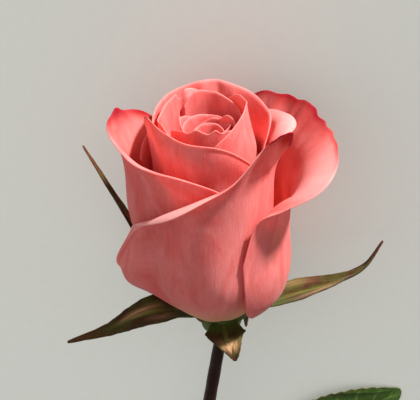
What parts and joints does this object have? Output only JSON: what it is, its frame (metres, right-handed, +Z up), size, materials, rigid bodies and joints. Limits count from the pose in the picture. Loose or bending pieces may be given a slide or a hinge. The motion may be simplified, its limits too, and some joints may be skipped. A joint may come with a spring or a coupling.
{
  "type": "cut rose",
  "caption": "Half-open cut rose lying on its side, with nested petals, pointed sepals, a trimmed prickly stem and one compound leaf.",
  "frame": {"origin": "on the ground under the middle of the rose's bounding box", "axes": "+X along the rose towards the bloom, +Z up, away from the surface it lies on; the bloom's shown face is up"},
  "size_m": [0.2154, 0.1042, 0.0513],
  "materials": {
    "petal": "soft satin, coral pink",
    "sepal": "matte, olive flushed tan",
    "hip": "satin green",
    "stem": "satin dark maroon",
    "prickle": "satin red-brown",
    "petiole": "satin green",
    "leaf": "satin dark green"
  },
  "bodies": {
    "root": {"heart_petal_1": "petal", "heart_petal_2": "petal", "heart_petal_3": "petal", "heart_petal_4": "petal", "heart_petal_5": "petal", "heart_petal_6": "petal", "heart_petal_7": "petal", "heart_petal_8": "petal", "inner_petal_front": "petal", "inner_petal_back_right": "petal", "inner_petal_back_left": "petal", "inner_petal_right": "petal", "back_petal_high": "petal", "front_petal_high": "petal", "right_petal_inner": "petal", "back_petal_left_inner": "petal", "left_petal": "petal", "back_petal_right": "petal", "front_petal": "petal", "back_petal_left": "petal", "right_petal": "petal", "back_petal_low": "petal", "hip": "hip", "sepal_right": "sepal", "sepal_left": "sepal", "sepal_front": "sepal", "sepal_back_left": "sepal", "sepal_back_right": "sepal", "stem": "stem", "prickle_1": "prickle", "prickle_2": "prickle", "prickle_3": "prickle", "prickle_4": "prickle", "prickle_5": "prickle", "petiole": "petiole", "leaflet_1": "leaf", "leaflet_2": "leaf", "leaflet_3": "leaf", "leaflet_4": "leaf", "leaflet_5": "leaf"}
  },
  "joints": []
}
